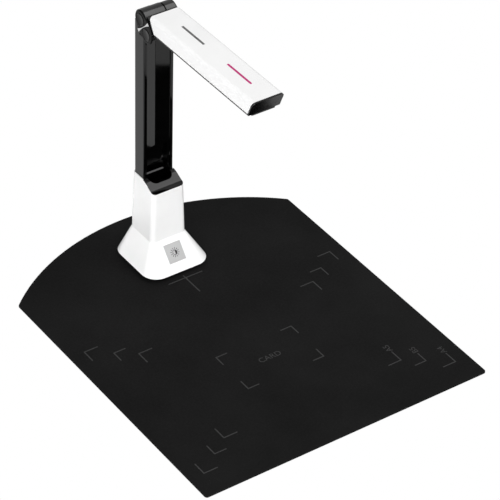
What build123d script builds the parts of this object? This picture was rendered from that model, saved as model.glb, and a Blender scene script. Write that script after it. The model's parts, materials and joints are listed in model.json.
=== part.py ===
from build123d import *
import os
from math import atan2, degrees, sqrt

# Book scanner: a small camera head on a double-jointed friction hinge, carried by a
# slim column that stands in a flared foot on a printed paper mat.
# Millimetres. X is the width, -Y is towards the reader, +Z is up.
# The origin is the centre of the mat's underside.

# ---- mat ------------------------------------------------------------------------
MAT_WIDTH = 330.0
MAT_DEPTH = 400.0
MAT_THICK = 2.0
MAT_REAR_RADIUS = 243.5
MAT_CORNER = 3.0

# ---- foot and tower (one moulding) ------------------------------------------------
STAND_Y = 126.2             # centre of the foot
TOWER_Y = 133.2             # centre of the tower
FOOT_SIZE = 74.7
FOOT_CORNER = 17.0
FOOT_Z = 6.0                # lower rim of the white shell
FLARE_TOP_Z = 34.0          # crease between flare and tower
TOWER_Z = 101.0             # flat rear part of the tower's rim
TOWER_LIP_Z = 93.7          # front lip of the rim
TOWER_LOW = (42.0, 40.4)    # width and depth at the crease
TOWER_HIGH = (36.8, 39.2)   # width and depth at the rim
TOWER_CORNER_LOW = 5.0
TOWER_CORNER_HIGH = 4.4
WALL = 1.6
RIM_WALL = 0.8              # the wall thins towards the rim

PLATE_BOTTOM = 3.6
PLATE_SIZE = 71.0
PLATE_CORNER = 15.2
FEET_INSET = 26.0
FEET_RADIUS = 6.0
BASE_SCREW_X = 28.0
BASE_SCREW_DY = 12.0
WEIGHT = (44.0, 42.0, 10.5)
WEIGHT_FRONT = 110.0
WEIGHT_SCREW_X = 16.0

KEY_SIZE = 19.5
KEY_Z = 21.7                # centre of the lamp key on the front flare
KEY_TRAVEL = 0.6
KEY_POST_X = 13.2            # posts of the key's board
PLUNGER_END = -3.9          # depth of the switch's plunger below the flare

# ---- column -----------------------------------------------------------------------
COLUMN_HALF = 17.5
SKIN_HALF = 15.6            # inner face of the column's side walls
COLUMN_FRONT = 133.4
COLUMN_BACK = 151.0
COLUMN_ROUND = 2.4          # rear corners
BACK_WALL = 1.8
COLUMN_BOTTOM = 40.0
PANEL_BOTTOM = 86.0
PANEL_TOP = 260.5
GROOVE_HALF = 13.8
GROOVE_STEP = 2.0           # groove's edge behind the rims
GROOVE_DEPTH = 6.2          # groove's middle behind the rims
PANEL_THICK = 1.8
NEST_HALF = 12.2            # seat of the folded lens housing
NEST_FLOOR = 139.8
NEST_BOTTOM = 103.0
NEST_TOP = 133.4
NEST_DISH_Z = 120.0
RAIL_HALF = 9.0
RAIL_THICK = 2.0
RAIL_BOTTOM = 16.5
RAIL_SCREWS = ((-5.0, 132.0), (5.0, 132.0))
COLUMN_SCREW_Z = (70.0, 150.0, 230.0)
KNUCKLE_SCREW_Z = (240.0, 251.0)
REAR_BOARD_PEGS = ((-8.0, 19.7), (8.0, 19.7), (-8.0, 29.3), (8.0, 29.3))
SOCKET_Z = 26.15            # centre of the data socket
SOCKET_MOUTH = 156.0

# ---- bezel in the tower's mouth ---------------------------------------------------
BEZEL_FRONT = 114.7
BEZEL_HALF = 17.4
BEZEL_BOTTOM = 84.5
BEZEL_LIP = 0.8             # the bezel's lip lies on the shell's rim
SCOOP_HALF = 13.3
SCOOP_FRONT = 124.1
SCOOP_CORNER = 7.0
SCOOP_FLOOR = 86.2
LEDGE_HALF = 11.9
LEDGE_FRONT = 138.6
LEDGE_TOP = 102.3
LEDGE_SLOPE = 1.2           # 45 degree slope along the ledge's front edge

# ---- double hinge -----------------------------------------------------------------
PIVOT_UP = (138.0, 288.7)   # y, z of the joint between column and link
PIVOT_LOW = (127.4, 276.8)  # y, z of the joint between link and head
SHAFT_R = 3.0
SHAFT_HEAD_R = 4.6
SHAFT_HEAD_IN = 14.6        # inner face of the shaft's head
BUSH_R = 4.0                # outside of the knuckle's bush
EAR_BUSH_R = 3.48           # outside of an ear's bush
PIN_R = 2.45
RUNNING = 0.05
KNUCKLE_HALF = 5.2
KNUCKLE_R = 10.0
BARREL_R = 10.2             # left barrel
BARREL_RIGHT_R = 9.6
EAR_R = 7.4
EAR_IN = 5.7
EAR_OUT = 15.0
CHEEK_IN = 17.6
CHEEK_OUT = 18.9
CHEEK_UP_R = 9.5
CHEEK_LOW_R = 9.6
CHEEK_EDGE = 1.0
CHEEK_WAIST_R = 11.8
BOSS_R = 3.2
CAP_R = 6.5
CAP_SEAT_R = 7.0            # shallow seat around a cap
CAP_DEEP = 0.6
CAP_PROUD = 0.5
CAP_RIM = 0.9               # width of a cap's sloping rim
CAP_DISH_R = 30.0           # a cap's face is dished to this radius
TRIM_ARC_R = 45.0
SWEEP_R = 19.4              # room for the lower pin's boss as the link folds down

# ---- head -------------------------------------------------------------------------
HEAD_HALF = 18.0
HEAD_BOTTOM = 282.0
HEAD_TOP = 299.0
FLOOR_THICK = 1.7
HEAD_WALL = 1.8
HEAD_ROUND = 4.2
FRONT_TOP_Y = -50.6
FRONT_BOTTOM_Y = -43.6
REAR_TOP_Y = 123.7
REAR_BOTTOM_Y = 115.6
CAP_THICK = 2.2
LENS_Y = -25.4
POD_HALF = 11.5
POD_FRONT = -40.6
POD_REAR = -13.0
POD_BOTTOM = 278.6
SKIRT_HALF = 13.5           # wider root of the lens housing
SKIRT_FRONT = -42.8
SKIRT_REAR = -11.0
SKIRT_BOTTOM = 279.9
FUNNEL_R = 9.2              # mouth of the funnel around the lens
FUNNEL_DEEP = 1.8
LENS_R = 6.9
LENS_BOTTOM = 280.4
LENS_TOP = 289.5
LENS_STOP_R = 3.4
GLASS_R = 5.5
GLASS_TOP = 282.2
GLASS_DOME_R = 22.0
HOLDER_HALF = 7.6
HOLDER_BOTTOM = 287.0
SENSOR_HALF = (4.0, 3.5)
SENSOR_Z = 290.6
CAMERA_BOARD_Z = 291.6
CAMERA_BOARD_HALF = (10.0, 12.0)
SLOT_FRONT = 56.2
SLOT_REAR = 93.6
SLOT_WIDTH = 2.6
LAMP_WINDOW = (-8.0, 0.5)
HEAD_BOSS_X = 13.2
HEAD_BOSS_Y = (2.0, 98.0)
MAIN_BOARD_Z = 287.0
MAIN_BOARD_POSTS = ((-8.0, 12.0), (-8.0, 92.0), (8.0, 12.0), (8.0, 92.0))
LAMP_BOARD_Z = 286.4
LAMP_BOARD_POSTS = ((-11.2, -3.75), (11.2, -3.75))

# ---- derived places -----------------------------------------------------------------
FLARE_RISE = FLARE_TOP_Z - FOOT_Z
FLARE_RUN = (TOWER_Y - TOWER_LOW[1] / 2) - (STAND_Y - FOOT_SIZE / 2)
KEY_Y = STAND_Y - FOOT_SIZE / 2 + FLARE_RUN * (KEY_Z - FOOT_Z) / FLARE_RISE
FLARE_NORMAL = (0, -FLARE_RISE, FLARE_RUN)
SPINE_BACK = COLUMN_BACK - BACK_WALL
SPINE_FRONT = SPINE_BACK - RAIL_THICK

LINK_DY = PIVOT_LOW[0] - PIVOT_UP[0]
LINK_DZ = PIVOT_LOW[1] - PIVOT_UP[1]
LINK_LENGTH = sqrt(LINK_DY**2 + LINK_DZ**2)
LINK_U = (LINK_DY / LINK_LENGTH, LINK_DZ / LINK_LENGTH)
LINK_MID = (PIVOT_UP[0] + LINK_DY / 2, PIVOT_UP[1] + LINK_DZ / 2)
# turn of the link that brings the lower joint straight below the upper one
LINK_FOLD = 270.0 - (degrees(atan2(LINK_DZ, LINK_DY)) + 360.0)


# ---- helpers ----------------------------------------------------------------------
def block(x0, x1, y0, y1, z0, z1):
    """Rectangular solid between two opposite corners."""
    centre = Pos((x0 + x1) / 2, (y0 + y1) / 2, (z0 + z1) / 2)
    return centre * Box(x1 - x0, y1 - y0, z1 - z0)


def wide(half, y0, y1, z0, z1):
    """Rectangular solid centred on x = 0."""
    return block(-half, half, y0, y1, z0, z1)


def slab(profile, x0, x1):
    """Extrudes a profile drawn in (y, z) from x0 to x1."""
    return extrude(Plane.YZ.offset(x0) * profile, x1 - x0)


def disc(centre, radius):
    """Round profile in (y, z)."""
    return Pos(centre[0], centre[1]) * Circle(radius)


def rod_x(centre, radius, x0, x1):
    """Round bar along X through (y, z)."""
    return slab(disc(centre, radius), x0, x1)


def rod_z(x, y, radius, z0, z1):
    """Round bar along Z."""
    return Pos(x, y, (z0 + z1) / 2) * Cylinder(radius, z1 - z0)


def rod_y(x, z, radius, y0, y1):
    """Round bar along Y."""
    return Pos(x, (y0 + y1) / 2, z) * Rot(90, 0, 0) * Cylinder(radius, y1 - y0)


def polygon(*points):
    """Filled outline through the points."""
    return make_face(Polyline(*points, close=True))


def slice_box(y0, y1, z0, z1):
    """Rectangle in (y, z)."""
    return Pos((y0 + y1) / 2, (z0 + z1) / 2) * Rectangle(y1 - y0, z1 - z0)


def rounded_section(width, depth, radius, y, z):
    """Rounded rectangle at height z."""
    return Pos(0, y, z) * RectangleRounded(width, depth, radius)


def both_sides(solid):
    """The solid and its mirror image about the centre plane."""
    return [solid, mirror(solid, about=Plane.YZ)]


def group(solids):
    """Separate solids that share one node."""
    return Compound(children=[s.solid() for s in solids])


def countersunk_screw_z(x, y, head_r, shank_r, z_head, z_neck, z_tip):
    """Screw driven up from below: flat head between z_head and z_neck."""
    head = rod_z(x, y, head_r, z_head, z_neck)
    shank = rod_z(x, y, shank_r, z_neck, z_tip)
    recess = rod_z(x, y, head_r * 0.45, z_head, z_head + (z_neck - z_head) * 0.6)
    return head + shank - recess


# ---- mat --------------------------------------------------------------------------
def scan_mat():
    half = MAT_WIDTH / 2
    front = -MAT_DEPTH / 2
    apex = MAT_DEPTH / 2
    centre = apex - MAT_REAR_RADIUS
    side_end = centre + sqrt(MAT_REAR_RADIUS**2 - half**2)
    sides = Polyline((half, side_end), (half, front), (-half, front), (-half, side_end))
    rear = ThreePointArc((-half, side_end), (0, apex), (half, side_end))
    face = make_face(sides + rear)
    face = fillet(face.vertices(), MAT_CORNER)
    mat = extrude(face, MAT_THICK)
    return chamfer(mat.faces().sort_by(Axis.Z)[-1].edges(), 0.3)


# ---- foot, tower and what they hold ------------------------------------------------
def tower_body(inset_low, inset_high, z_low):
    """Foot flare and tower as one closed body, drawn in by the insets."""
    foot = FOOT_SIZE - 2 * inset_low
    low = [side - 2 * inset_low for side in TOWER_LOW]
    high = [side - 2 * inset_high for side in TOWER_HIGH]
    sections = [
        rounded_section(foot, foot, FOOT_CORNER - inset_low, STAND_Y, z_low),
        rounded_section(low[0], low[1], TOWER_CORNER_LOW - inset_low, TOWER_Y, FLARE_TOP_Z),
        rounded_section(high[0], high[1], TOWER_CORNER_HIGH - inset_high, TOWER_Y, TOWER_Z + 1),
    ]
    return loft([s.face() for s in sections], ruled=True)


def above_rim(drop):
    """Everything over the tower's sloping rim, lowered by drop."""
    rear = (COLUMN_FRONT + 2.1, TOWER_Z - drop)
    front = (TOWER_Y - TOWER_LOW[1] / 2, TOWER_LIP_Z - drop)
    curve = Spline(rear, front, tangents=[(-1, 0), (-1, -0.05)])
    rest = Polyline(front, (70, front[1] - 4), (70, 140), (200, 140), (200, rear[1]), rear)
    return slab(make_face(curve + rest), -60, 60)


def flare_frame():
    """Plane on the front flare at the lamp key, its normal pointing outwards."""
    return Plane(origin=(0, KEY_Y, KEY_Z), x_dir=(1, 0, 0), z_dir=FLARE_NORMAL)


def flare_block(half_x, half_v, low, high):
    """Block on the front flare, between two depths along the flare's normal."""
    frame = flare_frame().offset((low + high) / 2)
    return frame * Box(2 * half_x, 2 * half_v, high - low)


def base_screw_places():
    places = []
    for x in (-BASE_SCREW_X, BASE_SCREW_X):
        for dy in (-BASE_SCREW_DY, BASE_SCREW_DY):
            places.append((x, STAND_Y + dy))
    return places


def weight_screw_places():
    return [(-WEIGHT_SCREW_X, STAND_Y + 3), (WEIGHT_SCREW_X, STAND_Y + 3)]


def base_shell():
    outer = tower_body(0.0, 0.0, FOOT_Z)
    inner = tower_body(WALL, RIM_WALL, FOOT_Z)
    shell = outer - inner
    shell -= above_rim(0.0)
    shell -= above_rim(BEZEL_LIP + 0.05) & wide(40, 80, COLUMN_FRONT, 80, 110)
    for x, y in base_screw_places():
        boss = rod_z(x, y, 3.2, FOOT_Z, 24) & outer
        shell += boss
        shell -= rod_z(x, y, 1.27, FOOT_Z, 14)
    # cross wall that the column leans on
    wall = wide(TOWER_LOW[0], COLUMN_FRONT - 2.1, COLUMN_FRONT - 0.1, COLUMN_BOTTOM, 84) & inner
    shell += wall
    # opening, board posts and guide for the lamp key
    for x in (-KEY_POST_X, KEY_POST_X):
        shell += flare_frame().offset(-3.6) * Pos(x, 0, 0) * Cylinder(1.7, 6.0) & outer
    shell -= flare_block(KEY_SIZE / 2 + 0.15, KEY_SIZE / 2 + 0.15, -3, 3)
    # connector opening in the rear flare
    shell -= block(-5.0, 5.0, TOWER_Y, 170, SOCKET_Z - 2.1, SOCKET_Z + 2.1)
    return shell


def base_plate():
    plate = extrude(rounded_section(PLATE_SIZE, PLATE_SIZE, PLATE_CORNER, STAND_Y, PLATE_BOTTOM),
                    FOOT_Z - PLATE_BOTTOM)
    for x, y in base_screw_places() + weight_screw_places():
        plate -= rod_z(x, y, 3.0, PLATE_BOTTOM, 5.2)
        plate -= rod_z(x, y, 1.5, PLATE_BOTTOM, FOOT_Z)
    for x, y in feet_places():
        plate -= rod_z(x, y, FEET_RADIUS + 0.1, PLATE_BOTTOM, PLATE_BOTTOM + 0.5)
    return plate


def feet_places():
    spots = []
    for x in (-FEET_INSET, FEET_INSET):
        for dy in (-FEET_INSET, FEET_INSET):
            spots.append((x, STAND_Y + dy))
    return spots


def rubber_feet():
    pads = []
    for x, y in feet_places():
        pad = rod_z(x, y, FEET_RADIUS, MAT_THICK, PLATE_BOTTOM + 0.5)
        pads.append(chamfer(pad.faces().sort_by(Axis.Z)[0].edges(), 0.5))
    return group(pads)


def base_screws():
    places = base_screw_places() + weight_screw_places()
    return group([countersunk_screw_z(x, y, 2.8, 1.25, 3.9, 5.2, 13) for x, y in places])


def counterweight():
    half_x, depth, high = WEIGHT[0] / 2, WEIGHT[1], WEIGHT[2]
    weight = wide(half_x, WEIGHT_FRONT, WEIGHT_FRONT + depth, FOOT_Z, FOOT_Z + high)
    weight = chamfer(weight.edges().filter_by(Axis.Z), 3)
    for x, y in weight_screw_places():
        weight -= rod_z(x, y, 1.27, FOOT_Z, 13.4)
    for x, y in RAIL_SCREWS:
        weight -= rod_z(x, y, 1.52, 8, FOOT_Z + high)
    return weight


def lamp_key():
    cap = flare_block(KEY_SIZE / 2, KEY_SIZE / 2, -1.6, 0.4)
    cap = chamfer(cap.faces().sort_by(Axis((0, 0, 0), FLARE_NORMAL))[-1].edges(), 0.25)
    flange = flare_block(KEY_SIZE / 2 + 1.1, KEY_SIZE / 2 + 1.1, -2.6, -1.6)
    stem = flare_block(2.0, 2.0, PLUNGER_END + KEY_TRAVEL + 0.1, -2.6)
    return cap + flange + stem


def key_switch():
    body = flare_block(3.0, 3.0, -6.6, -4.4)
    plunger = flare_frame().offset(PLUNGER_END - 0.25) * Cylinder(1.6, 0.5)
    return body + plunger


def key_board():
    board = flare_block(15.0, 8.0, -7.6, -6.6)
    for x in (-KEY_POST_X, KEY_POST_X):
        board -= flare_frame().offset(-7.1) * Pos(x, 0, 0) * Cylinder(0.9, 1.2)
    return board


def well(grow, z_low, y_back):
    """Round-cornered well of the bezel, grown sideways, from z_low upwards."""
    form = wide(SCOOP_HALF + grow, SCOOP_FRONT - grow, y_back, z_low, 112)
    return fillet(form.edges().filter_by(Axis.Z).sort_by(Axis.Y)[:2], SCOOP_CORNER + grow)


def bezel_tray():
    """Black tray in the tower's mouth with a well below the folded head's tip."""
    back = COLUMN_FRONT - 0.1
    body = wide(BEZEL_HALF, BEZEL_FRONT, back, BEZEL_BOTTOM, 112)
    body = fillet(body.edges().filter_by(Axis.Z).sort_by(Axis.Y)[:2], 3.6)
    body -= wide(BEZEL_HALF - 1.5, BEZEL_FRONT + 1.5, back - 1.5, BEZEL_BOTTOM - 1, BEZEL_BOTTOM + 4)
    lip = tower_body(0.1, 0.1, FOOT_Z) & above_rim(BEZEL_LIP) & wide(40, 80, back, 80, 112)
    tray = (body + lip + well(1.3, BEZEL_BOTTOM, back)) - above_rim(0.0)
    rear = NEST_FLOOR + 1.4
    crest = LEDGE_TOP - LEDGE_SLOPE
    ledge = polygon((back, BEZEL_BOTTOM), (rear, BEZEL_BOTTOM), (rear, LEDGE_TOP),
                    (LEDGE_FRONT + LEDGE_SLOPE, LEDGE_TOP), (LEDGE_FRONT, crest), (back, crest))
    tray += slab(ledge, -LEDGE_HALF, LEDGE_HALF)
    return tray - well(0, SCOOP_FLOOR, LEDGE_FRONT)


def usb_socket():
    base = SPINE_BACK + 2.8
    back = base + 1.4
    shell = block(-4.5, 4.5, base, SOCKET_MOUTH, SOCKET_Z - 1.65, SOCKET_Z + 1.65)
    shell = fillet(shell.edges().filter_by(Axis.Y), 1.4)
    mouth = block(-4.0, 4.0, back, SOCKET_MOUTH, SOCKET_Z - 1.15, SOCKET_Z + 1.15)
    mouth = fillet(mouth.edges().filter_by(Axis.Y), 1.0)
    tongue = block(-3.2, 3.2, back, SOCKET_MOUTH - 0.7, SOCKET_Z - 0.3, SOCKET_Z + 0.3)
    return shell - mouth + tongue


def base_board():
    """Board behind the spine that carries the data socket."""
    board = block(-14, 14, SPINE_BACK + 1.3, SPINE_BACK + 2.8, 17.3, 31.7)
    for x, z in REAR_BOARD_PEGS:
        board -= rod_y(x, z, 1.0, SPINE_BACK, SPINE_BACK + 3)
    return board


def board_spacers():
    seat = SPINE_BACK + 1.3
    spacers = []
    for x, z in REAR_BOARD_PEGS:
        spacers.append(rod_y(x, z, 2.0, SPINE_BACK, seat) + rod_y(x, z, 0.95, seat, seat + 1.9))
    return group(spacers)


# ---- column -----------------------------------------------------------------------
def column_rear_shell():
    outer = wide(COLUMN_HALF, COLUMN_FRONT, COLUMN_BACK, COLUMN_BOTTOM, 290)
    outer = fillet(outer.edges().filter_by(Axis.Z).sort_by(Axis.Y)[-2:], COLUMN_ROUND)
    outer = fillet(outer.edges().filter_by(Axis.Z).sort_by(Axis.Y)[:2], 1.5)
    shell = outer - wide(SKIN_HALF, 130, SPINE_BACK, 0, 258)
    shell -= wide(SKIN_HALF, 130, COLUMN_BACK - 0.9, 258, 300)
    # hollow around the upper barrels, and the way of the lower pin's bosses
    shell -= rod_x(PIVOT_UP, BARREL_R + 0.7, -30, 30)
    sweep = disc(PIVOT_UP, SWEEP_R) & slice_box(100, PIVOT_UP[0] + 3.4, 240, 320)
    shell -= slab(sweep, -30, 30)
    shell -= wide(30, 100, 170, PIVOT_UP[1] - 6.0, 320)
    for z in COLUMN_SCREW_Z:
        shell -= rod_y(0, z, 1.2, SPINE_BACK - 0.6, SPINE_BACK + 1.2)
    return shell


def groove_profile(depth_shift, groove_half, half, back):
    """Plan outline of the column's stepped V front, from its groove back to a plane."""
    front = COLUMN_FRONT + depth_shift
    right = [(half, back), (half, front), (groove_half, front), (groove_half, front + GROOVE_STEP)]
    left = [(-x, y) for x, y in reversed(right)]
    return polygon(*right, (0, front + GROOVE_DEPTH), *left)


def column_front_panel():
    half = SKIN_HALF - 0.1
    height = PANEL_TOP - PANEL_BOTTOM
    base = Pos(0, 0, PANEL_BOTTOM)
    solid = extrude(base * groove_profile(0.0, GROOVE_HALF, half, SPINE_FRONT), height)
    behind = extrude(base * groove_profile(PANEL_THICK, half - 0.5, 30, 170), height)
    panel = solid - behind
    nest_block = wide(NEST_HALF + 1.4, COLUMN_FRONT + 1, NEST_FLOOR + 1.7,
                      NEST_BOTTOM, NEST_TOP + 1.4)
    panel += nest_block & solid
    panel -= wide(NEST_HALF, 120, NEST_FLOOR, NEST_BOTTOM, NEST_TOP)
    panel -= wide(NEST_HALF, 120, SPINE_FRONT, PANEL_BOTTOM, NEST_BOTTOM)
    panel -= rod_y(0, NEST_DISH_Z, 10.6, NEST_FLOOR, NEST_FLOOR + 0.9)
    shelf = wide(half, COLUMN_FRONT + 1.6, SPINE_BACK - 0.2, 257.2, 259.2)
    shelf &= extrude(Pos(0, 0, 257) * groove_profile(0.5, GROOVE_HALF, half, 170), 3)
    shelf -= wide(KNUCKLE_HALF + 0.2, SPINE_FRONT - 3.6, 170, 250, 262)
    shelf -= wide(RAIL_HALF + 0.2, SPINE_FRONT - 0.1, 170, 250, 262)
    return panel + shelf


def column_rail():
    """Steel spine from the counterweight to the hinge knuckle."""
    spine = wide(RAIL_HALF, SPINE_FRONT, SPINE_BACK, RAIL_BOTTOM, 256.6)
    foot = wide(RAIL_HALF, 126, SPINE_BACK, RAIL_BOTTOM, RAIL_BOTTOM + RAIL_THICK)
    rail = spine + foot
    for z in COLUMN_SCREW_Z:
        rail -= rod_y(0, z, 1.5, SPINE_FRONT - 1, SPINE_BACK + 1)
    for x, y in RAIL_SCREWS:
        rail -= rod_z(x, y, 1.7, 15, 20)
    for z in KNUCKLE_SCREW_Z:
        rail -= rod_y(0, z, 1.02, SPINE_FRONT - 1, SPINE_BACK + 1)
    return rail


def rail_screws():
    screws = []
    seat = RAIL_BOTTOM + RAIL_THICK
    for x, y in RAIL_SCREWS:
        head = rod_z(x, y, 2.7, seat, seat + 1.7)
        shank = rod_z(x, y, 1.5, 9, seat)
        screws.append(head + shank - rod_z(x, y, 1.2, seat + 0.7, seat + 1.7))
    return group(screws)


def column_screws():
    screws = []
    for z in COLUMN_SCREW_Z:
        head = rod_y(0, z, 2.5, SPINE_FRONT - 1.6, SPINE_FRONT)
        shank = rod_y(0, z, 1.17, SPINE_FRONT, SPINE_BACK + 1.0)
        screws.append(head + shank - rod_y(0, z, 1.1, SPINE_FRONT - 1.6, SPINE_FRONT - 0.6))
    return group(screws)


def column_knuckle():
    """Metal lug that carries the upper hinge joint."""
    front = COLUMN_FRONT + 0.2
    rear = COLUMN_BACK - 1.1
    arm = polygon((front, 262.0), (rear, 262.0), (rear, PIVOT_UP[1] - 10.0),
                  (PIVOT_UP[0] + KNUCKLE_R - 0.1, PIVOT_UP[1]), (front, PIVOT_UP[1]))
    eye = disc(PIVOT_UP, KNUCKLE_R)
    bore = disc(PIVOT_UP, BUSH_R + 0.02)
    lug = slab(arm + eye - bore, -KNUCKLE_HALF, KNUCKLE_HALF)
    lug += wide(KNUCKLE_HALF, SPINE_FRONT - 3.2, SPINE_FRONT, 234, 264)
    for z in KNUCKLE_SCREW_Z:
        lug -= rod_y(0, z, 2.4, SPINE_FRONT - 3.6, SPINE_FRONT - 1.4)
        lug -= rod_y(0, z, 1.1, SPINE_FRONT - 3.6, SPINE_FRONT + 1.4)
    return lug


def knuckle_screws():
    screws = []
    for z in KNUCKLE_SCREW_Z:
        head = rod_y(0, z, 2.2, SPINE_FRONT - 2.8, SPINE_FRONT - 1.4)
        screws.append(head + rod_y(0, z, 1.0, SPINE_FRONT - 1.4, SPINE_FRONT + 1.8))
    return group(screws)


def knuckle_bush():
    ring = disc(PIVOT_UP, BUSH_R) - disc(PIVOT_UP, SHAFT_R + RUNNING)
    return slab(ring, -KNUCKLE_HALF, KNUCKLE_HALF)


def column_cable():
    return rod_z(13.6, SPINE_BACK - 1.7, 1.3, 30, 255)


# ---- link of the double hinge -------------------------------------------------------
def cheek_outline():
    """Outer plate's outline: an end round about each pivot and a fuller waist."""
    rounds = [(PIVOT_UP, CHEEK_UP_R), (LINK_MID, CHEEK_WAIST_R), (PIVOT_LOW, CHEEK_LOW_R)]
    edges = []
    for centre, radius in rounds:
        edges += disc(centre, radius).edges()
    return make_hull(edges)


def trim_outline():
    """Bow tie between the two pivots, bounded by two large arcs."""
    reach = TRIM_ARC_R + 0.25
    outline = cheek_outline()
    for sign in (-1, 1):
        centre = (LINK_MID[0] + sign * reach * LINK_U[0], LINK_MID[1] + sign * reach * LINK_U[1])
        outline -= disc(centre, TRIM_ARC_R)
    return outline


def link_half(barrel_in, barrel_r):
    """Left half of the link: a barrel inside and a plate outside the column's wall."""
    cheek = slab(cheek_outline(), -CHEEK_OUT, -CHEEK_IN)
    cheek = fillet(cheek.faces().sort_by(Axis.X)[0].edges(), CHEEK_EDGE)
    barrel = slab(disc(PIVOT_UP, barrel_r) - disc(PIVOT_LOW, EAR_R + 0.3), -CHEEK_IN, -barrel_in)
    boss = rod_x(PIVOT_LOW, BOSS_R, -CHEEK_IN, -(EAR_OUT + 0.1))
    half = cheek + barrel + boss
    half -= rod_x(PIVOT_UP, SHAFT_R + 0.02, -18.0, 0)
    half -= rod_x(PIVOT_UP, SHAFT_HEAD_R + 0.4, -18.0, -(SHAFT_HEAD_IN - 0.2))
    half -= rod_x(PIVOT_LOW, PIN_R + 0.02, -18.0, 0)
    half -= slab(trim_outline(), -CHEEK_OUT, -(CHEEK_OUT - 0.35))
    for pivot in (PIVOT_UP, PIVOT_LOW):
        half -= rod_x(pivot, CAP_SEAT_R, -CHEEK_OUT, -(CHEEK_OUT - CAP_DEEP))
    return half


def hinge_link_left():
    return link_half(5.35, BARREL_R)


def hinge_link_right():
    return mirror(link_half(6.95, BARREL_RIGHT_R), about=Plane.YZ)


def silver_trim_left():
    return slab(trim_outline(), -(CHEEK_OUT + 0.1), -(CHEEK_OUT - 0.35))


def silver_trim_right():
    return mirror(silver_trim_left(), about=Plane.YZ)


def pivot_caps():
    """Round caps over the pivots, each with a sloping rim and a dished face."""
    face_x = -(CHEEK_OUT + CAP_PROUD)
    dish_r = CAP_R - CAP_RIM
    dish_centre = face_x - sqrt(CAP_DISH_R**2 - dish_r**2)
    caps = []
    for pivot in (PIVOT_UP, PIVOT_LOW):
        cap = rod_x(pivot, CAP_R, face_x, -(CHEEK_OUT - CAP_DEEP))
        cap = chamfer(cap.faces().sort_by(Axis.X)[0].edges(), CAP_PROUD, CAP_RIM)
        cap -= Pos(dish_centre, *pivot) * Sphere(CAP_DISH_R)
        caps += both_sides(cap)
    return group(caps)


def upper_shaft():
    shaft = rod_x(PIVOT_UP, SHAFT_R, -CHEEK_IN, CHEEK_IN - 0.2)
    head = rod_x(PIVOT_UP, SHAFT_HEAD_R, -CHEEK_IN, -SHAFT_HEAD_IN)
    return shaft + head


def shaft_nut():
    hexagon = Pos(PIVOT_UP[0], PIVOT_UP[1]) * RegularPolygon(4.5, 6)
    bore = disc(PIVOT_UP, SHAFT_R + 0.02)
    return slab(hexagon - bore, 14.5, 17.3)


def friction_washers():
    ring = disc(PIVOT_UP, 6.6) - disc(PIVOT_UP, SHAFT_R + 0.1)
    return group([slab(ring, x, x + 0.8) for x in (5.25, 6.1)])


def lower_pins():
    pin = rod_x(PIVOT_LOW, PIN_R, -17.9, -6.0)
    return group(both_sides(pin))


# ---- head -------------------------------------------------------------------------
def head_section(inset, z_low):
    """Cross-section of the head in (x, z), drawn in by inset, open-ended below."""
    half = HEAD_HALF - inset
    top = HEAD_TOP - inset
    box = Pos(0, (z_low + top) / 2) * Rectangle(2 * half, top - z_low)
    return fillet(box.vertices().sort_by(Axis.Y)[-2:], HEAD_ROUND - inset)


def head_prism(section, y_front, y_rear):
    """Extrudes an (x, z) section from y_rear forwards to y_front."""
    return extrude(Plane.XZ.offset(-y_rear) * section, y_rear - y_front)


def raked_front(advance):
    """Space in front of the head's raked end, moved forwards by advance."""
    slope = (FRONT_BOTTOM_Y - FRONT_TOP_Y) / (HEAD_TOP - HEAD_BOTTOM)
    top = (FRONT_TOP_Y - 10 * slope - advance, HEAD_TOP + 10)
    low = (FRONT_BOTTOM_Y + 10 * slope - advance, HEAD_BOTTOM - 10)
    return slab(polygon(top, low, (-90, low[1]), (-90, top[1])), -40, 40)


def slanted_rear(shift):
    """Space behind the white shell's slanted rear edge, moved back by shift."""
    slope = (REAR_TOP_Y - REAR_BOTTOM_Y) / (HEAD_TOP - HEAD_BOTTOM - 2)
    top = (REAR_TOP_Y + 5 * slope + shift, HEAD_TOP + 5)
    low = (REAR_BOTTOM_Y - 5 * slope + shift, HEAD_BOTTOM + 2 - 5)
    return slab(polygon(top, low, (170, low[1] - 30), (170, top[1])), -40, 40)


def head_boss_places():
    return [(x, y) for x in (-HEAD_BOSS_X, HEAD_BOSS_X) for y in HEAD_BOSS_Y]


def head_shell():
    rim = HEAD_BOTTOM + FLOOR_THICK
    outer = head_prism(head_section(0, rim), -70, 140)
    inner = head_prism(head_section(HEAD_WALL, rim - 5), -80, 150)
    shell = outer - inner - raked_front(-CAP_THICK) - slanted_rear(0)
    for x, y in head_boss_places():
        shell += rod_z(x, y, 2.6, rim, HEAD_TOP - 1)
        shell -= rod_z(x, y, 1.12, rim, rim + 6)
    half = SLOT_WIDTH / 2
    shell -= block(-half, half, SLOT_FRONT, SLOT_REAR, 290, 310)
    return shell


def head_floor():
    """Thin black underside plate, with the lens and lamp openings."""
    top = HEAD_BOTTOM + FLOOR_THICK
    plate = wide(HEAD_HALF - 0.1, -50, 112, HEAD_BOTTOM, top) - raked_front(-CAP_THICK)
    plate -= wide(10.4, POD_FRONT + 2, POD_REAR - 2, 270, 290)
    plate -= wide(9.1, LAMP_WINDOW[0] - 0.1, LAMP_WINDOW[1] + 0.1, 270, 290)
    for x, y in head_boss_places():
        plate -= rod_z(x, y, 1.4, 270, 290)
    for x, y in MAIN_BOARD_POSTS:
        plate += rod_z(x, y, 1.8, top, MAIN_BOARD_Z)
        plate -= rod_z(x, y, 0.97, top + 0.3, MAIN_BOARD_Z)
    for x, y in LAMP_BOARD_POSTS:
        plate += rod_z(x, y, 1.5, top, LAMP_BOARD_Z)
        plate += rod_z(x, y, 0.8, LAMP_BOARD_Z, LAMP_BOARD_Z + 1.6)
    return plate


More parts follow.
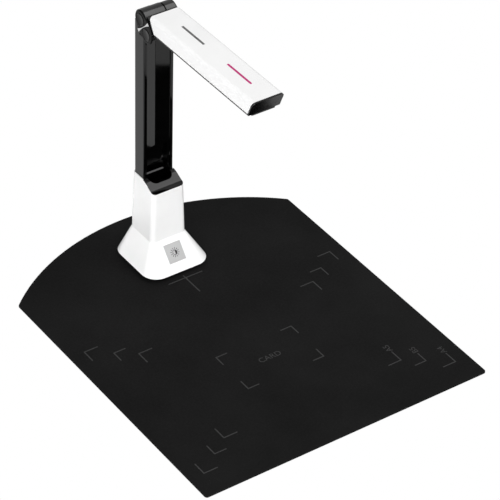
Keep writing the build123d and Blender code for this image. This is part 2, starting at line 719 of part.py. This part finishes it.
def head_front_cap():
    """Black end piece with a flat raked face."""
    face = head_prism(head_section(0.05, HEAD_BOTTOM), -70, 0)
    cap = face & raked_front(-CAP_THICK + 0.05)
    cap -= raked_front(0)
    cap = chamfer(cap.faces().sort_by(Axis.Y)[0].edges(), 0.35)
    plug = head_prism(head_section(HEAD_WALL + 0.15, HEAD_BOTTOM + FLOOR_THICK + 0.1), -70, 0)
    plug &= raked_front(-CAP_THICK - 2.5)
    plug -= raked_front(-CAP_THICK + 0.05)
    core = head_prism(head_section(HEAD_WALL + 1.6, HEAD_BOTTOM + 3), -70, 0)
    return cap + (plug - core)


def head_neck():
    """Black rear piece of the head: closes the shell and carries the two hinge ears."""
    rim = HEAD_BOTTOM + FLOOR_THICK
    plug = head_prism(head_section(HEAD_WALL + 0.1, rim + 0.1), 106, 124.8)
    plug -= head_prism(head_section(HEAD_WALL + 2, rim + 2), 100, 113)
    outline = polygon((112.3, HEAD_BOTTOM + 0.1), (130.5, HEAD_BOTTOM + 0.1), (130.5, 294.3),
                      (124.8, 297.1), (112.3, 297.1))
    body = slab(outline, -17.0, 17.0)
    heel = wide(17.0, 112.3, 130.5, HEAD_BOTTOM + 0.1, rim)
    neck = plug + (body & slanted_rear(0.1)) + (heel & slanted_rear(-3))
    web_outline = polygon((PIVOT_LOW[0] - EAR_R, PIVOT_LOW[1]), (116.0, HEAD_BOTTOM + 1.0),
                          (128.5, HEAD_BOTTOM + 1.0), PIVOT_LOW)
    for web in both_sides(slab(web_outline, EAR_IN, EAR_OUT)):
        neck += web
    neck -= rod_x(PIVOT_UP, BARREL_R + 0.4, -30, 30)
    # room for the column's lug in the middle as the link turns down
    folded = Pos(PIVOT_UP[0], PIVOT_UP[1]) * Rot(0, 0, -LINK_FOLD)
    neck -= slab(folded * slice_box(-5.2, 30, -60, 60), -(KNUCKLE_HALF + 0.3), KNUCKLE_HALF + 0.3)
    ear = rod_x(PIVOT_LOW, EAR_R, EAR_IN, EAR_OUT)
    for part in both_sides(ear):
        neck += part
    neck -= rod_x(PIVOT_LOW, EAR_BUSH_R + 0.02, -30, 30)
    neck -= head_prism(Pos(0, 290) * Rectangle(16, 7), 100, 118)
    return neck


def ear_bushes():
    ring = disc(PIVOT_LOW, EAR_BUSH_R) - disc(PIVOT_LOW, PIN_R + RUNNING)
    return group(both_sides(slab(ring, EAR_IN + 0.1, EAR_OUT - 0.1)))


def lens_pod():
    skirt = wide(SKIRT_HALF, SKIRT_FRONT, SKIRT_REAR, SKIRT_BOTTOM, HEAD_BOTTOM)
    skirt = fillet(skirt.edges().filter_by(Axis.Z), 1.5)
    snout = wide(POD_HALF, POD_FRONT, POD_REAR, POD_BOTTOM, SKIRT_BOTTOM)
    snout = fillet(snout.edges().filter_by(Axis.Z), 2.0)
    snout = chamfer(snout.faces().sort_by(Axis.Z)[0].edges(), 0.6)
    neck = wide(10.2, POD_FRONT + 3.6, POD_REAR - 2.2, HEAD_BOTTOM, 287)
    pod = skirt + snout + neck
    bore_r = LENS_R + 0.1
    pod -= Pos(0, LENS_Y, POD_BOTTOM + FUNNEL_DEEP / 2) * Cone(FUNNEL_R, bore_r, FUNNEL_DEEP)
    pod -= rod_z(0, LENS_Y, bore_r, POD_BOTTOM, LENS_TOP)
    return pod


def lens_barrel():
    barrel = rod_z(0, LENS_Y, LENS_R, LENS_BOTTOM, LENS_TOP)
    barrel -= rod_z(0, LENS_Y, GLASS_R + 0.1, LENS_BOTTOM, GLASS_TOP)
    barrel -= rod_z(0, LENS_Y, LENS_STOP_R, LENS_BOTTOM, LENS_TOP)
    return barrel


def lens_glass():
    body = rod_z(0, LENS_Y, GLASS_R, LENS_BOTTOM, GLASS_TOP)
    dome = Pos(0, LENS_Y, LENS_BOTTOM + GLASS_DOME_R) * Sphere(GLASS_DOME_R)
    return body & dome


def camera_board():
    half_x, half_y = CAMERA_BOARD_HALF
    return wide(half_x, LENS_Y - half_y, LENS_Y + half_y, CAMERA_BOARD_Z, CAMERA_BOARD_Z + 1.2)


def image_sensor():
    half_x, half_y = SENSOR_HALF
    return wide(half_x, LENS_Y - half_y, LENS_Y + half_y, SENSOR_Z, CAMERA_BOARD_Z)


def lens_holder():
    half_x, half_y = (half + 0.2 for half in SENSOR_HALF)
    holder = wide(HOLDER_HALF, LENS_Y - HOLDER_HALF, LENS_Y + HOLDER_HALF, HOLDER_BOTTOM, CAMERA_BOARD_Z)
    holder -= rod_z(0, LENS_Y, LENS_R + 0.05, HOLDER_BOTTOM - 1, LENS_TOP + 0.1)
    holder -= wide(half_x, LENS_Y - half_y, LENS_Y + half_y, LENS_TOP, CAMERA_BOARD_Z + 0.1)
    return holder


def lamp_window():
    front, rear = LAMP_WINDOW
    window = wide(9.0, front, rear, HEAD_BOTTOM + 0.1, HEAD_BOTTOM + FLOOR_THICK)
    return fillet(window.edges().filter_by(Axis.Z), 0.05)


def lamp_board():
    board = wide(13.0, -9.5, -1.0, LAMP_BOARD_Z, LAMP_BOARD_Z + 1.0)
    for x, y in LAMP_BOARD_POSTS:
        board -= rod_z(x, y, 0.85, LAMP_BOARD_Z - 1, LAMP_BOARD_Z + 2)
    return board


def lamp_leds():
    spots = []
    for x in (-6, 0, 6):
        spots.append(block(x - 1.4, x + 1.4, -5.2, -2.2, LAMP_BOARD_Z - 0.9, LAMP_BOARD_Z))
    return group(spots)


def slot_insert():
    half = SLOT_WIDTH / 2 - 0.05
    bar = block(-half, half, SLOT_FRONT + 0.1, SLOT_REAR - 0.1, 296.6, HEAD_TOP - 0.1)
    flange = block(-2.2, 2.2, SLOT_FRONT - 1.5, SLOT_REAR + 1.5, 296.0, HEAD_TOP - HEAD_WALL)
    return bar + flange


def main_board():
    board = wide(10.0, 6, 102, MAIN_BOARD_Z, MAIN_BOARD_Z + 1.4)
    for x, y in MAIN_BOARD_POSTS:
        board -= rod_z(x, y, 1.0, 280, 290)
    return board


def main_chip():
    return wide(7, 40, 54, MAIN_BOARD_Z + 1.4, MAIN_BOARD_Z + 2.8)


def board_screws():
    seat = MAIN_BOARD_Z + 1.4
    screws = []
    for x, y in MAIN_BOARD_POSTS:
        screws.append(rod_z(x, y, 1.7, seat, seat + 1.2) + rod_z(x, y, 0.95, seat - 4.2, seat))
    return group(screws)


def head_screws():
    screws = []
    for x, y in head_boss_places():
        screw = rod_z(x, y, 1.1, HEAD_BOTTOM + 0.2, 288)
        head = Pos(x, y, HEAD_BOTTOM + 0.35) * Cylinder(1.35, 0.6)
        screws.append(screw + head)
    return group(screws)


def head_cable():
    flat = wide(4.0, 90, 111, 290.2, 290.6)
    plug = wide(5.0, 88.5, 93, 288.4, 290.2)
    return flat + plug


NODES = [
    scan_mat, base_shell, base_plate, rubber_feet, base_screws, counterweight,
    lamp_key, key_switch, key_board, bezel_tray, usb_socket, base_board, board_spacers,
    column_rear_shell, column_front_panel, column_rail, rail_screws, column_screws,
    column_knuckle, knuckle_screws, knuckle_bush, column_cable,
    hinge_link_left, hinge_link_right, silver_trim_left, silver_trim_right, pivot_caps,
    upper_shaft, shaft_nut, friction_washers, lower_pins,
    head_shell, head_floor, head_front_cap, head_neck, ear_bushes, lens_pod, lens_barrel,
    lens_glass, camera_board, image_sensor, lens_holder, lamp_window, lamp_board, lamp_leds,
    slot_insert, main_board, main_chip, board_screws, head_screws, head_cable,
]

os.makedirs("parts", exist_ok=True)
for build in NODES:
    export_step(build(), f"parts/{build.__name__}.step")
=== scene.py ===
import json
import math

import bmesh
import bpy
from mathutils import Matrix, Vector


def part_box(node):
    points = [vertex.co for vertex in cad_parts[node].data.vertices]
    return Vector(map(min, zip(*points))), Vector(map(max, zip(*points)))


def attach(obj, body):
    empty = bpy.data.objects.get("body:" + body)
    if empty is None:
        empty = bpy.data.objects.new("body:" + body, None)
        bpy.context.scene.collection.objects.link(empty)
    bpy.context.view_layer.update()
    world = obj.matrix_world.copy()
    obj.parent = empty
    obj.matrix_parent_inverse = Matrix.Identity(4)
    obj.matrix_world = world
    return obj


# Looks of the book scanner: gloss and satin plastics on the CAD frame, the mat's printed
# marks, the lamp key's sign, the camera's glass, and a soft white studio around it.
# Metres, in the row's frame: +X right, -Y towards the reader, +Z up.
# Printed shapes are drawn in millimetres and scaled by MM.

MM = 0.001
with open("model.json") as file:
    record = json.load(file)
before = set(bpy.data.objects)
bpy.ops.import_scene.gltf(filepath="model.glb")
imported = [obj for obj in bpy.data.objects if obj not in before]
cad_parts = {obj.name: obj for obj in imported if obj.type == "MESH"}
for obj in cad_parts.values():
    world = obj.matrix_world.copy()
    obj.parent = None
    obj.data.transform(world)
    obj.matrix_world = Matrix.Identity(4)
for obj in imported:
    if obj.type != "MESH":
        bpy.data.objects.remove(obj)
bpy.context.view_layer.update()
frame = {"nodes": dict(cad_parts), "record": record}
NODES = frame["nodes"]
JOINTS = {joint["name"]: joint for joint in frame["record"]["behaviour"]["joints"]}

# ---- driving values ------------------------------------------------------------------
# cells per metre of the noise fields that most plastics share
BLOTCH_CELLS = 38               # slow change of tone
GLOSS_CELLS = 90                # uneven gloss
SINK_CELLS = 26                 # slow sink waves of a moulding
PEBBLE_CELLS = 1500             # pebble grain of the mat

PLATE_THICK = 1.3 * MM
PLATE_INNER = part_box("hinge_link_right")[1].x - PLATE_THICK   # inner face of a link plate
PLATE_BLEND = 0.2 * MM          # width of the change of finish at that face

# printed marks, in millimetres
INK = 0.02                      # thickness of the ink
UNDER_INK = INK * 0.9           # crossing strokes are lower, so their tops don't coincide
LINE = 1.25                     # width of the mat's lines
PAPER_Y = -67.0                 # centre of the paper marks
PAPERS = {                      # width, depth, length of a corner mark's leg
    "A4": (297.0, 210.0, 15.0),
    "B5": (250.0, 176.0, 13.0),
    "A5": (210.0, 148.0, 15.0),
    "card": (90.0, 55.5, 12.5),
}
T_BAR_HALF = 20.0               # T mark in front of the foot
T_BAR_Y = 82.3
T_STEM = (86.0, 56.4)           # rear and front end of its stem
LABEL_SIZE = 9.0
LABEL_GAP = 6.5                 # between a corner mark's leg and its label
CARD_SIZE = 9.5

RING_OUTER = 2.7                # key sign
RING_INNER = 2.2
SHADE_RADIUS = 2.3              # shaded half of the sign's disc
SHADE_BULGE = 0.3               # how far the shade's inner edge stands off the middle
RING_STEPS = 28
SHADE_STEPS = 16
RAYS = 12
RAY_NEAR = 3.5
RAY_FAR = 4.9
RAY_WIDTH = 0.6

BAR_REAR = (0, 16)              # bar on the head's top
BAR_FRONT = (0, -21)
BAR_WIDTH = 2.4
BAR_STEPS = 8

# studio, in metres
FLOOR_SIZE = 7
FLOOR_DROP = 0.0003
FLOOR_SHADE_SPAN = (-0.3, 0.3)        # the floor's colour darkens between these x, a painted shade that makes its bounce fall off
SKY_STRENGTH = 0.55
CAMERA_TARGET = (0.0811, 0.0846, 0.002)
CAMERA_TURN = -35.77            # degrees, from straight in front
CAMERA_RISE = 37.60
CAMERA_ROLL = 1.78
CAMERA_DISTANCE = 2.853
CAMERA_LENS = 199.8             # millimetres, on a 36 mm sensor


# ---- materials -----------------------------------------------------------------------
class Paint:
    """Small helper that wires a procedural material around one Principled shader."""

    def __init__(self, name):
        self.material = bpy.data.materials.new(name)
        self.material.use_nodes = True
        self.tree = self.material.node_tree
        self.shader = self.tree.nodes["Principled BSDF"]
        self.coords = self.tree.nodes.new("ShaderNodeTexCoord").outputs["Object"]

    def node(self, kind, **values):
        """Adds a node, with values for its inputs or its settings."""
        made = self.tree.nodes.new(kind)
        for key, value in values.items():
            if key in made.inputs:
                made.inputs[key].default_value = value
            else:
                setattr(made, key, value)
        return made

    def link(self, source, target):
        self.tree.links.new(source, target)

    def set(self, **values):
        """Sets the shader's own inputs, with _ for a space in a name."""
        for key, value in values.items():
            self.shader.inputs[key.replace("_", " ")].default_value = value

    def noise(self, scale, detail=3.0, rough=0.55, stretch=(1, 1, 1)):
        """Value of a noise field with `scale` cells per metre."""
        shift = self.node("ShaderNodeMapping")
        shift.inputs["Scale"].default_value = stretch
        self.link(self.coords, shift.inputs["Vector"])
        field = self.node("ShaderNodeTexNoise", Scale=scale, Detail=detail, Roughness=rough)
        self.link(shift.outputs["Vector"], field.inputs["Vector"])
        return field.outputs["Fac"]

    def cells(self, scale, feature="F1"):
        """Value of a cell pattern with `scale` cells per metre."""
        field = self.node("ShaderNodeTexVoronoi", Scale=scale, feature=feature)
        self.link(self.coords, field.inputs["Vector"])
        return field.outputs["Distance"]

    def stripes(self, scale):
        """Parallel lines across X."""
        wave = self.node("ShaderNodeTexWave", Scale=scale, bands_direction="X")
        self.link(self.coords, wave.inputs["Vector"])
        return wave.outputs["Fac"]

    def across(self):
        """Place along X, in metres."""
        place = self.node("ShaderNodeSeparateXYZ")
        self.link(self.coords, place.inputs["Vector"])
        return place.outputs["X"]

    def fit(self, source, low, high, at=(0.3, 0.7)):
        """Maps the stretch `at` of a field to the range low..high."""
        scaled = self.node("ShaderNodeMapRange")
        scaled.inputs["From Min"].default_value = at[0]
        scaled.inputs["From Max"].default_value = at[1]
        scaled.inputs["To Min"].default_value = low
        scaled.inputs["To Max"].default_value = high
        self.link(source, scaled.inputs["Value"])
        return scaled.outputs["Result"]

    def blend(self, factor, first, second):
        """Colour between two colours by a 0..1 field."""
        mix = self.node("ShaderNodeMix", data_type="RGBA")
        mix.inputs["A"].default_value = (*first, 1)
        mix.inputs["B"].default_value = (*second, 1)
        self.link(factor, mix.inputs["Factor"])
        return mix.outputs["Result"]

    def color(self, source):
        self.link(source, self.shader.inputs["Base Color"])

    def roughness(self, source):
        self.link(source, self.shader.inputs["Roughness"])

    def bump(self, *layers):
        """Adds relief: each layer is (field, depth in metres)."""
        last = None
        for field, depth in layers:
            relief = self.node("ShaderNodeBump", Distance=depth, Strength=1.0)
            self.link(field, relief.inputs["Height"])
            if last is not None:
                self.link(last, relief.inputs["Normal"])
            last = relief.outputs["Normal"]
        self.link(last, self.shader.inputs["Normal"])


def grey(value, warmth=0.0):
    """Linear colour of an sRGB grey between 0 and 255, a little warm or cool."""
    linear = (value / 255) ** 2.2
    return (linear * (1 + warmth), linear, linear * (1 - warmth))


def moulded(name, dark, light, gloss, grain, depth, coat=0.0, wave=0.0, ior=1.5):
    """Moulded plastic: blotchy tone, uneven gloss, tool grain, and slow sink waves."""
    paint = Paint(name)
    paint.color(paint.blend(paint.fit(paint.noise(BLOTCH_CELLS), 0, 1), dark, light))
    paint.roughness(paint.fit(paint.noise(GLOSS_CELLS, 5), gloss[0], gloss[1]))
    layers = [(paint.noise(grain, 2), depth)]
    if wave:
        layers.append((paint.noise(SINK_CELLS, 1), wave))
    paint.bump(*layers)
    paint.set(Coat_Weight=coat, Coat_Roughness=0.04, IOR=ior)
    return paint


def link_metal():
    """Painted link: polished barrels between satin outer plates."""
    paint = moulded("link_metal", grey(12), grey(24), (0.1, 0.24), 1600, 0.00002)
    aside = paint.node("ShaderNodeMath", operation="ABSOLUTE")
    paint.link(paint.across(), aside.inputs[0])
    shine = paint.fit(aside.outputs["Value"], 0.7, 0.1, at=(PLATE_INNER, PLATE_INNER + PLATE_BLEND))
    paint.link(shine, paint.shader.inputs["Specular IOR Level"])
    return paint


def metal(name, dark, light, gloss, stretch):
    """Metal with fine drawn lines along one axis."""
    paint = Paint(name)
    lines = paint.noise(2200, 2, stretch=stretch)
    paint.color(paint.blend(paint.fit(lines, 0, 1), dark, light))
    paint.roughness(paint.fit(lines, gloss[0], gloss[1]))
    paint.bump((lines, 0.000004))
    paint.set(Metallic=1.0)
    return paint


def mat_sheet():
    """Matt rubber sheet: pebble grain with a finer grit over it."""
    paint = Paint("mat_sheet")
    tone = paint.fit(paint.noise(9, 4), 0, 1)
    paint.color(paint.blend(tone, grey(22), grey(29)))
    paint.roughness(paint.fit(paint.noise(420, 3), 0.72, 0.9))
    paint.bump((paint.cells(PEBBLE_CELLS), 0.00007), (paint.noise(5200, 2), 0.00003))
    paint.set(Specular_IOR_Level=0.08)
    return paint


def print_ink():
    """Grey ink, a little broken by the sheet's grain."""
    paint = Paint("print_ink")
    paint.color(paint.blend(paint.fit(paint.noise(1400, 4), 0, 1), grey(44), grey(64)))
    paint.roughness(paint.fit(paint.noise(900), 0.5, 0.75))
    paint.bump((paint.cells(PEBBLE_CELLS), 0.00004))
    paint.set(Specular_IOR_Level=0.1)
    return paint


def lens_coating():
    """Coated front element: nearly black, with a violet-green film."""
    paint = Paint("lens_glass")
    rings = paint.node("ShaderNodeLayerWeight", Blend=0.35)
    tone = paint.blend(rings.outputs["Facing"], (0.008, 0.01, 0.03), (0.06, 0.02, 0.09))
    paint.color(tone)
    paint.roughness(paint.fit(paint.noise(700), 0.01, 0.03))
    paint.set(IOR=1.7, Coat_Weight=1.0, Coat_Roughness=0.01)
    paint.set(Thin_Film_Thickness=380.0, Thin_Film_IOR=1.38)
    return paint


def frosted_lamp():
    """Frosted lamp window with fine prism lines."""
    paint = Paint("lamp_frost")
    prisms = paint.stripes(190.0)
    paint.color(paint.blend(prisms, grey(214, 0.02), grey(240, 0.02)))
    paint.roughness(paint.fit(paint.noise(800), 0.3, 0.5))
    paint.bump((prisms, 0.00015))
    paint.set(Subsurface_Weight=0.3, Subsurface_Scale=0.002)
    return paint


def circuit_board():
    """Solder mask with tracks and pads."""
    paint = Paint("circuit_board")
    tracks = paint.fit(paint.cells(330, "DISTANCE_TO_EDGE"), 1, 0, at=(0.02, 0.05))
    paint.color(paint.blend(tracks, (0.005, 0.07, 0.025), (0.02, 0.16, 0.06)))
    paint.roughness(paint.fit(paint.noise(500), 0.25, 0.45))
    paint.bump((tracks, 0.00003))
    return paint


def ribbon():
    """Flat cable with parallel conductors."""
    paint = Paint("ribbon_white")
    wires = paint.stripes(160.0)
    paint.color(paint.blend(wires, grey(190), grey(232)))
    paint.roughness(paint.fit(paint.noise(600), 0.35, 0.5))
    paint.bump((wires, 0.0001))
    return paint


PAINTS = {
    "mat_sheet": mat_sheet(),
    "print_ink": print_ink(),
    "white_shell": moulded("white_shell", grey(232), grey(236), (0.16, 0.24), 2600, 0.000003,
                           coat=0.35, wave=0.00006),
    "black_gloss": moulded("black_gloss", grey(5), grey(8), (0.03, 0.07), 2400, 0.000001,
                           wave=0.00002, ior=1.47),
    "black_matte": moulded("black_matte", grey(12), grey(22), (0.2, 0.34), 2400, 0.00002),
    "black_metal": moulded("black_metal", grey(12), grey(24), (0.1, 0.24), 1600, 0.00002, ior=1.6),
    "link_metal": link_metal(),
    "cap_metal": moulded("cap_metal", grey(6), grey(26), (0.12, 0.3), 1300, 0.00005, ior=1.33),
    "end_gloss": moulded("end_gloss", grey(5), grey(8), (0.1, 0.18), 2400, 0.000001,
                         wave=0.00012, ior=1.45),
    "rubber": moulded("rubber", grey(22), grey(32), (0.6, 0.8), 1800, 0.00004),
    "grey_key": moulded("grey_key", grey(167), grey(175), (0.3, 0.42), 3200, 0.00001),
    "key_ink": moulded("key_ink", grey(34), grey(50), (0.4, 0.5), 3200, 0.00001),
    "accent": moulded("accent", (0.42, 0.008, 0.13), (0.5, 0.012, 0.17), (0.3, 0.4), 2600, 0.000004),
    "silver": metal("silver", grey(214), grey(240), (0.1, 0.2), (1, 1, 9)),
    "steel": metal("steel", grey(150), grey(190), (0.24, 0.38), (1, 1, 8)),
    "weight_iron": moulded("weight_iron", grey(80), grey(104), (0.5, 0.7), 900, 0.0001),
    "bronze": metal("bronze", (0.42, 0.24, 0.09), (0.6, 0.38, 0.16), (0.3, 0.45), (1, 1, 1)),
    "circuit_board": circuit_board(),
    "chip_black": moulded("chip_black", grey(36), grey(48), (0.5, 0.6), 3000, 0.00002),
    "lens_glass": lens_coating(),
    "lamp_frost": frosted_lamp(),
    "slot_grey": moulded("slot_grey", grey(84), grey(98), (0.2, 0.32), 2600, 0.000004),
    "ribbon_white": ribbon(),
}

# nodes whose finish differs from the rest of their material slot
FINISHES = {
    "hinge_link_left": "link_metal",
    "hinge_link_right": "link_metal",
    "pivot_caps": "cap_metal",
    "head_front_cap": "end_gloss",
}


def dress(piece, paint):
    """Gives a piece one of the paints."""
    piece.data.materials.clear()
    piece.data.materials.append(PAINTS[paint].material)


for part in frame["record"]["subparts"]:
    dress(NODES[part["node"]], FINISHES.get(part["node"], part["material_slot"]))


# ---- pieces built here ---------------------------------------------------------------
def add_piece(name, mesh, body, paint):
    """Places a mesh as a piece that rides on a body."""
    piece = bpy.data.objects.new(name, mesh)
    bpy.context.scene.collection.objects.link(piece)
    dress(piece, paint)
    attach(piece, body)


def to_mesh(name, shape):
    """Turns a bmesh into a mesh."""
    mesh = bpy.data.meshes.new(name)
    shape.to_mesh(mesh)
    shape.free()
    return mesh


def raise_outline(shape, points, place, thick):
    """Adds a thin slab with the outline `points` (x, y in mm) on the plane `place`."""
    low = [shape.verts.new(place @ Vector((x * MM, y * MM, 0))) for x, y in points]
    high = [shape.verts.new(place @ Vector((x * MM, y * MM, thick * MM))) for x, y in points]
    shape.faces.new(high)
    shape.faces.new(low[::-1])
    count = len(points)
    for i in range(count):
        after = (i + 1) % count
        shape.faces.new((low[i], low[after], high[after], high[i]))


def oval(half_x, half_y, angle):
    """Point of an ellipse, or of a circle when both halves are equal."""
    return (half_x * math.cos(angle), half_y * math.sin(angle))


def stroke(start, end, width, steps=5):
    """Outline of a line with round ends, counter-clockwise."""
    run = Vector(end) - Vector(start)
    turn = math.atan2(run.y, run.x)
    points = []
    for centre, base in ((end, turn - math.pi / 2), (start, turn + math.pi / 2)):
        for i in range(steps + 1):
            x, y = oval(width / 2, width / 2, base + math.pi * i / steps)
            points.append((centre[0] + x, centre[1] + y))
    return points


MAT_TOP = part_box("scan_mat")[1].z
MAT_PLANE = Matrix.Translation((0, 0, MAT_TOP))


def mat_marks():
    """L marks at the corners of each paper size, and the T mark in front of the foot."""
    shape = bmesh.new()
    for width, depth, leg in PAPERS.values():
        for sx in (-1, 1):
            for sy in (-1, 1):
                x, y = sx * width / 2, PAPER_Y + sy * depth / 2
                raise_outline(shape, stroke((x, y), (x - sx * leg, y), LINE), MAT_PLANE, INK)
                raise_outline(shape, stroke((x, y), (x, y - sy * leg), LINE), MAT_PLANE, UNDER_INK)
    bar = stroke((-T_BAR_HALF, T_BAR_Y), (T_BAR_HALF, T_BAR_Y), LINE)
    stem = stroke((0, T_STEM[0]), (0, T_STEM[1]), LINE)
    raise_outline(shape, bar, MAT_PLANE, INK)
    raise_outline(shape, stem, MAT_PLANE, UNDER_INK)
    add_piece("mat_marks", to_mesh("mat_marks", shape), "stand", "print_ink")


def label(name, words, size, x, y, turn):
    """Printed size label lying on the mat."""
    curve = bpy.data.curves.new(name, "FONT")
    curve.body = words
    curve.size = size * MM
    curve.align_x = "CENTER"
    curve.align_y = "CENTER"
    curve.extrude = INK / 2 * MM
    source = bpy.data.objects.new(name + "_source", curve)
    bpy.context.scene.collection.objects.link(source)
    bpy.context.view_layer.update()
    mesh = bpy.data.meshes.new_from_object(source)
    bpy.data.objects.remove(source)
    spot = Matrix.Translation((x * MM, y * MM, MAT_TOP + INK / 2 * MM))
    mesh.transform(spot @ Matrix.Rotation(turn, 4, "Z"))
    add_piece(name, mesh, "stand", "print_ink")


def paper_labels():
    """Size names beside the front right corner marks, and the card's word in its frame."""
    for size_name in ("A4", "B5", "A5"):
        width, depth, leg = PAPERS[size_name]
        y = PAPER_Y - depth / 2 + leg + LABEL_GAP
        label(f"label_{size_name}", size_name, LABEL_SIZE, width / 2, y, math.pi / 2)
    label("label_card", "CARD", CARD_SIZE, 0, PAPER_Y, 0)


def key_sign():
    """Lamp sign on the key: a half-shaded disc with rays, printed on the sloping cap."""
    low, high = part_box("lamp_key")
    centre = Vector((0, (low.y + high.y) / 2, (low.z + high.z) / 2))
    outward = -Vector(JOINTS["lamp_key_press"]["axis"])
    slope = Matrix.Rotation(math.atan2(-outward.y, outward.z), 4, "X")
    top = max((v.co - centre).dot(outward) for v in NODES["lamp_key"].data.vertices)
    place = Matrix.Translation(centre + outward * top) @ slope
    shape = bmesh.new()
    # ring, as short stretches
    turns = [2 * math.pi * i / RING_STEPS for i in range(RING_STEPS)]
    ring = [oval(RING_OUTER, RING_OUTER, a) for a in turns]
    hole = [oval(RING_INNER, RING_INNER, a) for a in turns]
    for i in range(RING_STEPS):
        after = (i + 1) % RING_STEPS
        raise_outline(shape, [ring[i], ring[after], hole[after], hole[i]], place, INK)
    # shaded side: out along a half circle, back along a flat oval
    rise = [math.pi * (i / SHADE_STEPS - 0.5) for i in range(SHADE_STEPS + 1)]
    fall = [math.pi * (0.5 - i / SHADE_STEPS) for i in range(1, SHADE_STEPS)]
    shade = [oval(SHADE_RADIUS, SHADE_RADIUS, a) for a in rise]
    shade += [oval(SHADE_BULGE, SHADE_RADIUS, a) for a in fall]
    raise_outline(shape, shade, place, UNDER_INK)
    for i in range(RAYS):
        a = 2 * math.pi * (i + 0.5) / RAYS
        ray = stroke(oval(RAY_NEAR, RAY_NEAR, a), oval(RAY_FAR, RAY_FAR, a), RAY_WIDTH)
        raise_outline(shape, ray, place, INK)
    add_piece("key_sign", to_mesh("key_sign", shape), "key", "key_ink")


def accent_bar():
    """Plain coloured bar printed on the head's top."""
    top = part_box("head_shell")[1].z
    place = Matrix.Translation((0, 0, top))
    shape = bmesh.new()
    raise_outline(shape, stroke(BAR_REAR, BAR_FRONT, BAR_WIDTH, BAR_STEPS), place, INK)
    add_piece("head_accent", to_mesh("head_accent", shape), "head", "accent")


mat_marks()
paper_labels()
key_sign()
accent_bar()


# ---- studio --------------------------------------------------------------------------
def floor_paper():
    """White paper: the camera sees it evenly lit; its colour darkens to the right, a painted shade
    that makes its bounce fall off.
    """
    paint = Paint("floor_paper")
    paint.roughness(paint.fit(paint.noise(60), 0.75, 0.9))
    paint.bump((paint.noise(900, 2), 0.00003))
    paint.set(Specular_IOR_Level=0.0)
    # painted shade: colour darker to the right, seen only in the floor's bounce and reflections
    paint.color(paint.fit(paint.across(), 0.8, 0.55, at=FLOOR_SHADE_SPAN))
    glow = paint.node("ShaderNodeEmission", Color=(1, 1, 1, 1), Strength=1.0)
    seen = paint.node("ShaderNodeLightPath")
    either = paint.node("ShaderNodeMixShader")
    paint.link(seen.outputs["Is Camera Ray"], either.inputs["Fac"])
    paint.link(paint.shader.outputs["BSDF"], either.inputs[1])
    paint.link(glow.outputs["Emission"], either.inputs[2])
    paint.link(either.outputs["Shader"], paint.tree.nodes["Material Output"].inputs["Surface"])
    return paint.material


def floor():
    """Pale seamless floor under the mat."""
    shape = bmesh.new()
    bmesh.ops.create_grid(shape, x_segments=8, y_segments=8, size=FLOOR_SIZE)
    mesh = to_mesh("studio_floor", shape)
    mesh.materials.append(floor_paper())
    piece = bpy.data.objects.new("studio_floor", mesh)
    piece.location.z = -FLOOR_DROP
    bpy.context.scene.collection.objects.link(piece)


def sky(strength):
    """Even white light from all around."""
    world = bpy.data.worlds.new("studio")
    bpy.context.scene.world = world
    world.use_nodes = True
    background = world.node_tree.nodes["Background"]
    background.inputs["Color"].default_value = (1, 1, 1, 1)
    background.inputs["Strength"].default_value = strength


def softbox(name, place, target, size, power, spread=180.0):
    """Rectangular lamp that faces a target, its spread in degrees."""
    data = bpy.data.lights.new(name, "AREA")
    data.shape = "RECTANGLE"
    data.size, data.size_y = size
    data.energy = power
    data.spread = math.radians(spread)
    lamp = bpy.data.objects.new(name, data)
    lamp.location = place
    aim = Vector(target) - Vector(place)
    lamp.rotation_euler = aim.to_track_quat("-Z", "Y").to_euler()
    bpy.context.scene.collection.objects.link(lamp)


def camera():
    """Long lens, above and to the reader's left."""
    turn = math.radians(CAMERA_TURN)
    rise = math.radians(CAMERA_RISE)
    roll = math.radians(CAMERA_ROLL)
    level = math.cos(rise)
    back = Vector((math.sin(turn) * level, -math.cos(turn) * level, math.sin(rise)))
    right = (-back).cross(Vector((0, 0, 1))).normalized()
    down = (-back).cross(right)
    across = right * math.cos(roll) - down * math.sin(roll)
    below = right * math.sin(roll) + down * math.cos(roll)
    facing = Matrix((across, -below, back)).transposed().to_4x4()
    data = bpy.data.cameras.new("camera")
    data.sensor_width = 36.0
    data.lens = CAMERA_LENS
    data.clip_end = 50
    shot = bpy.data.objects.new("camera", data)
    shot.matrix_world = Matrix.Translation(Vector(CAMERA_TARGET) + back * CAMERA_DISTANCE) @ facing
    bpy.context.scene.collection.objects.link(shot)
    bpy.context.scene.camera = shot


floor()
sky(SKY_STRENGTH)
softbox("key_light", (-1.5, -1.7, 0.9), target=(0, 0.05, 0.1), size=(1.8, 1.8), power=49)
softbox("top_light", (0.9, -0.35, 1.65), target=(0, 0.1, 0.1), size=(1.3, 2.5), power=19)
softbox("foot_light", (-1.1, -0.75, 0.22), target=(-0.02, 0.12, 0.045), size=(0.5, 0.3),
        power=0.12, spread=20.0)
camera()
bpy.context.scene.view_settings.view_transform = "Standard"
